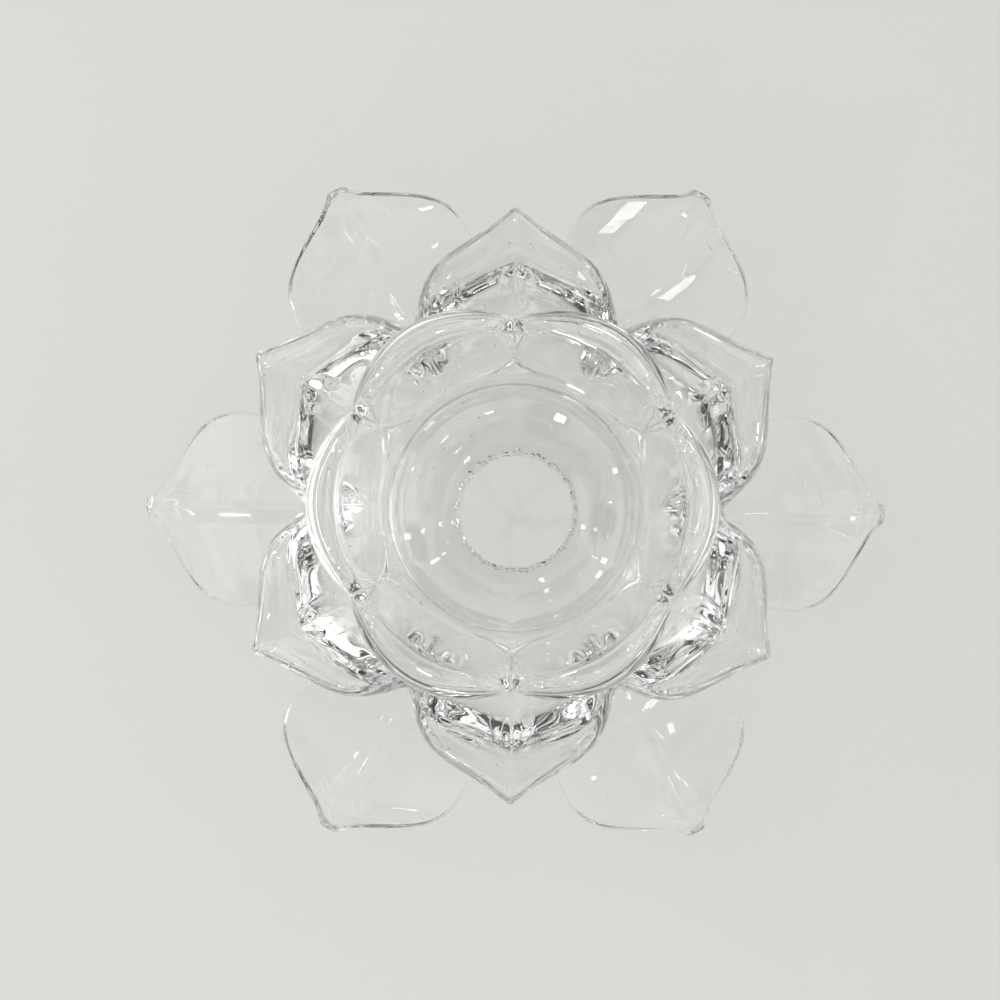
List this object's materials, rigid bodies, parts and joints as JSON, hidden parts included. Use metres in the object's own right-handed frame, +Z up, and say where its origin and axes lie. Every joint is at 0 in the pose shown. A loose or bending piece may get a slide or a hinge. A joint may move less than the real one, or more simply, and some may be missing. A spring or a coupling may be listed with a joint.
{
  "type": "tealight holder",
  "caption": "Clear pressed-glass lotus tealight holder: thin spread outer petals, steep middle petals and a thick lobed cup, stacked and bonded on one axis.",
  "frame": {"origin": "on the common axis, at the underside of the foot", "axes": "+Z up along the axis, out of the cup's mouth; +X along one of the outer petals"},
  "size_m": [0.12, 0.105, 0.058],
  "materials": {
    "outer_glass": "clear, fire-polished",
    "middle_glass": "clear, fire-polished",
    "cup_glass": "clear, fire-polished",
    "clear_adhesive": "clear UV-cured adhesive with a speckled rim"
  },
  "bodies": {
    "root": {"outer_petal_tier": "outer_glass", "lower_adhesive_bond": "clear_adhesive", "middle_petal_tier": "middle_glass", "upper_adhesive_bond": "clear_adhesive", "candle_cup_tier": "cup_glass"}
  },
  "joints": []
}
